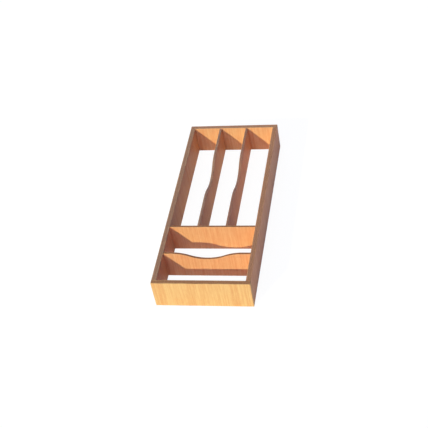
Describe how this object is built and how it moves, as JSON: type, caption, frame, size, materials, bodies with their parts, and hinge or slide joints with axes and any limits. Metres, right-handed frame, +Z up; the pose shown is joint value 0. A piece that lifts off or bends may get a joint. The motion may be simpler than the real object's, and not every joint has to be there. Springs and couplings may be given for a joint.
{
  "type": "knife tray",
  "caption": "Open-bottomed wooden drawer insert with cross bays at the front, long bays behind and finger scoops in the dividers, for sorting table knives and cutlery.",
  "frame": {"origin": "centre of the tray's outline, on the plane of its underside", "axes": "+X to the right seen from the front, +Y from the front to the back along the long bays, +Z up"},
  "size_m": [0.2, 0.49, 0.065],
  "materials": {
    "frame_wood": "oiled, upright grain, dark end grain on the rim",
    "divider_wood": "oiled, upright grain, dark end grain on the top edges",
    "dowel_wood": "raw fluted dowel"
  },
  "bodies": {
    "root": {"front_board": "frame_wood", "back_board": "frame_wood", "left_side": "frame_wood", "right_side": "frame_wood", "scooped_cross_divider": "divider_wood", "cross_divider": "divider_wood", "left_long_divider": "divider_wood", "right_long_divider": "divider_wood", "dowel_front_left_lower": "dowel_wood", "dowel_front_left_upper": "dowel_wood", "dowel_front_right_lower": "dowel_wood", "dowel_front_right_upper": "dowel_wood", "dowel_back_left_lower": "dowel_wood", "dowel_back_left_upper": "dowel_wood", "dowel_back_right_lower": "dowel_wood", "dowel_back_right_upper": "dowel_wood"}
  },
  "joints": []
}
